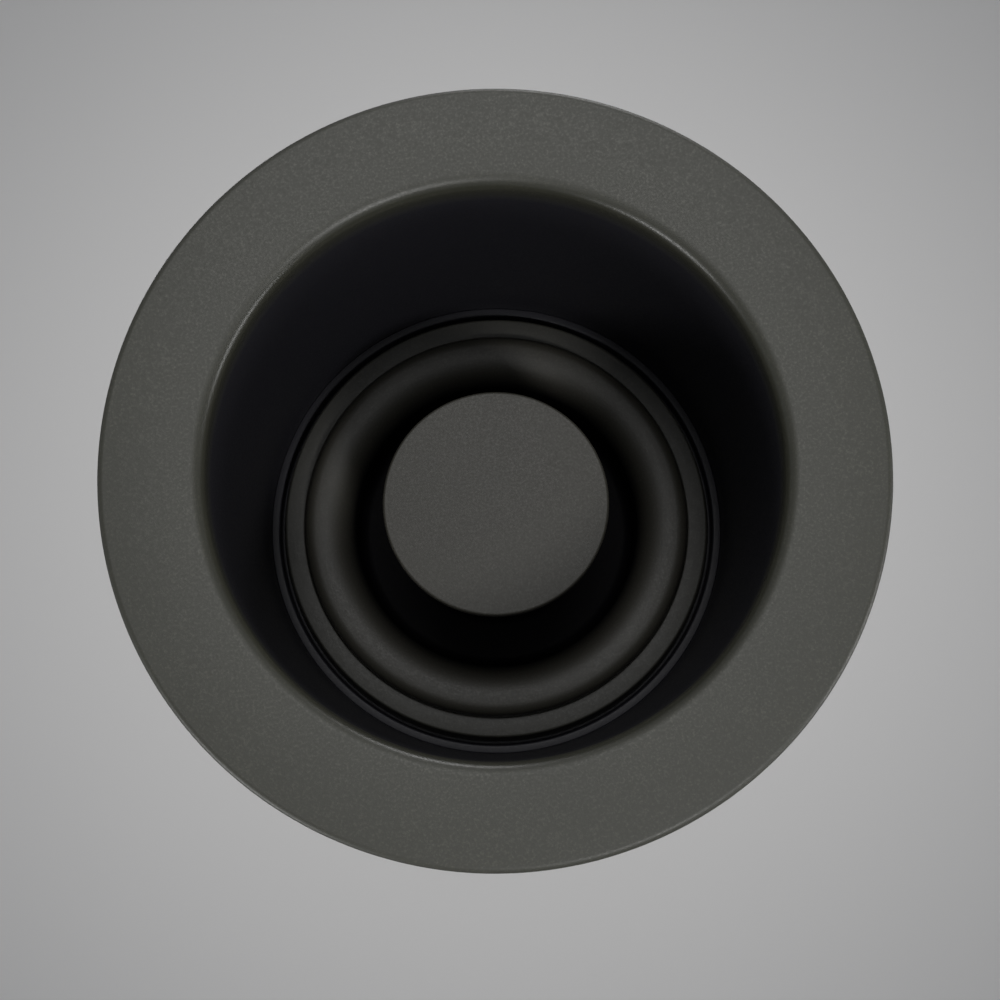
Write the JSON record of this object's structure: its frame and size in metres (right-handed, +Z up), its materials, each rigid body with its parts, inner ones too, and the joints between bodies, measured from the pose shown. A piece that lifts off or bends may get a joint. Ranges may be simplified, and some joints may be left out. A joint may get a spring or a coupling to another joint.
{
  "type": "kitchen garbage disposal",
  "caption": "Under-sink food-waste disposer with matte black sink flange, knobbed lift-out stopper, bolted sink mount, grind chamber, side drain elbow and upright motor.",
  "frame": {"origin": "centre of the sink flange rim's underside, in the plane where it rests on the sink", "axes": "+Z up out of the sink opening along the shaft, +Y towards the drain elbow, +X towards the dishwasher inlet"},
  "size_m": [0.1629, 0.217, 0.3319],
  "materials": {
    "black_coat": "matte powder coat, fine grain",
    "seal_rubber": "matte",
    "fibre_sheet": "dull pressed fibre",
    "plated_steel": "zinc plated",
    "black_steel": "satin coated steel",
    "stainless": "satin stainless",
    "cast_metal": "as-cast",
    "jacket_plastic": "fine moulded texture",
    "motor_paint": "satin black",
    "base_plastic": "fine moulded texture",
    "pipe_plastic": "moulded, low gloss",
    "foam": "open-cell foam",
    "lamination_steel": "stacked sheet edges",
    "copper_wire": "lacquered wire",
    "sintered_bronze": "sintered, oiled",
    "bright_steel": "ground",
    "switch_plastic": "moulded phenolic",
    "red_plastic": "moulded",
    "green_screw": "dyed plating"
  },
  "bodies": {
    "housing": {"sink_flange": "black_coat", "throat_seat": "black_coat", "fibre_gasket": "fibre_sheet", "backup_flange": "plated_steel", "upper_mounting_ring": "plated_steel", "mounting_bolts": "plated_steel", "snap_ring": "bright_steel", "mounting_gasket": "seal_rubber", "grind_container": "black_steel", "knockout_plug": "base_plastic", "grind_ring": "stainless", "chamber_gasket": "seal_rubber", "chamber_clamp": "stainless", "clamp_bolt": "plated_steel", "drain_housing": "cast_metal", "discharge_gasket": "seal_rubber", "discharge_flange": "plated_steel", "discharge_screws": "plated_steel", "discharge_elbow": "pipe_plastic", "shaft_seal": "seal_rubber", "upper_bearing": "sintered_bronze", "lower_bearing": "sintered_bronze", "thrust_washer": "bright_steel", "stator_core": "lamination_steel", "main_winding": "copper_wire", "start_winding": "copper_wire", "start_switch": "switch_plastic", "motor_housing": "motor_paint", "base_frame": "base_plastic", "tie_bolts": "plated_steel", "terminal_cover": "plated_steel", "terminal_cover_screw": "plated_steel", "ground_screw": "green_screw", "overload_protector": "switch_plastic", "upper_jacket_front": "jacket_plastic", "upper_jacket_rear": "jacket_plastic", "lower_jacket_front": "jacket_plastic", "lower_jacket_rear": "jacket_plastic", "upper_foam": "foam", "lower_foam": "foam"},
    "stopper": {"stopper_cap": "black_coat", "stopper_carrier": "black_coat", "stopper_seal": "seal_rubber", "stopper_screw": "bright_steel"},
    "lock_ring": {"lower_mounting_ring": "plated_steel"},
    "rotor": {"rotor_shaft": "bright_steel", "rotor_core": "lamination_steel", "rotor_end_rings": "cast_metal", "governor": "plated_steel", "turntable": "stainless", "turntable_nut": "bright_steel", "lug_rivets": "bright_steel"},
    "lug_a": {"swivel_lug_a": "stainless"},
    "lug_b": {"swivel_lug_b": "stainless"},
    "collar": {"switch_collar": "switch_plastic"},
    "reset": {"reset_button": "red_plastic"}
  },
  "joints": [
    {"name": "stopper_lift", "type": "slide", "parent": "housing", "child": "stopper", "axis": [0, 0, 1], "range_m": [0, 0.1]},
    {"name": "lock_ring_turn", "type": "hinge", "parent": "housing", "child": "lock_ring", "pos_m": [0, 0, -0.0868], "axis": [0, 0, 1], "range_deg": [0, 32]},
    {"name": "rotor_spin", "type": "hinge", "parent": "housing", "child": "rotor", "pos_m": [0, 0, -0.258], "axis": [0, 0, 1], "continuous": true},
    {"name": "lug_a_swing", "type": "hinge", "parent": "rotor", "child": "lug_a", "pos_m": [0.036, 0, -0.1418], "axis": [0, 0, 1], "continuous": true},
    {"name": "lug_b_swing", "type": "hinge", "parent": "rotor", "child": "lug_b", "pos_m": [-0.036, 0, -0.1418], "axis": [0, 0, 1], "continuous": true},
    {"name": "collar_slide", "type": "slide", "parent": "rotor", "child": "collar", "axis": [0, 0, 1], "range_m": [0, 0.003], "stiffness_N_per_m": 150, "springref_m": -0.002},
    {"name": "reset_press", "type": "slide", "parent": "housing", "child": "reset", "axis": [0, 0, 1], "range_m": [0, 0.003], "stiffness_N_per_m": 400, "springref_m": -0.002}
  ]
}
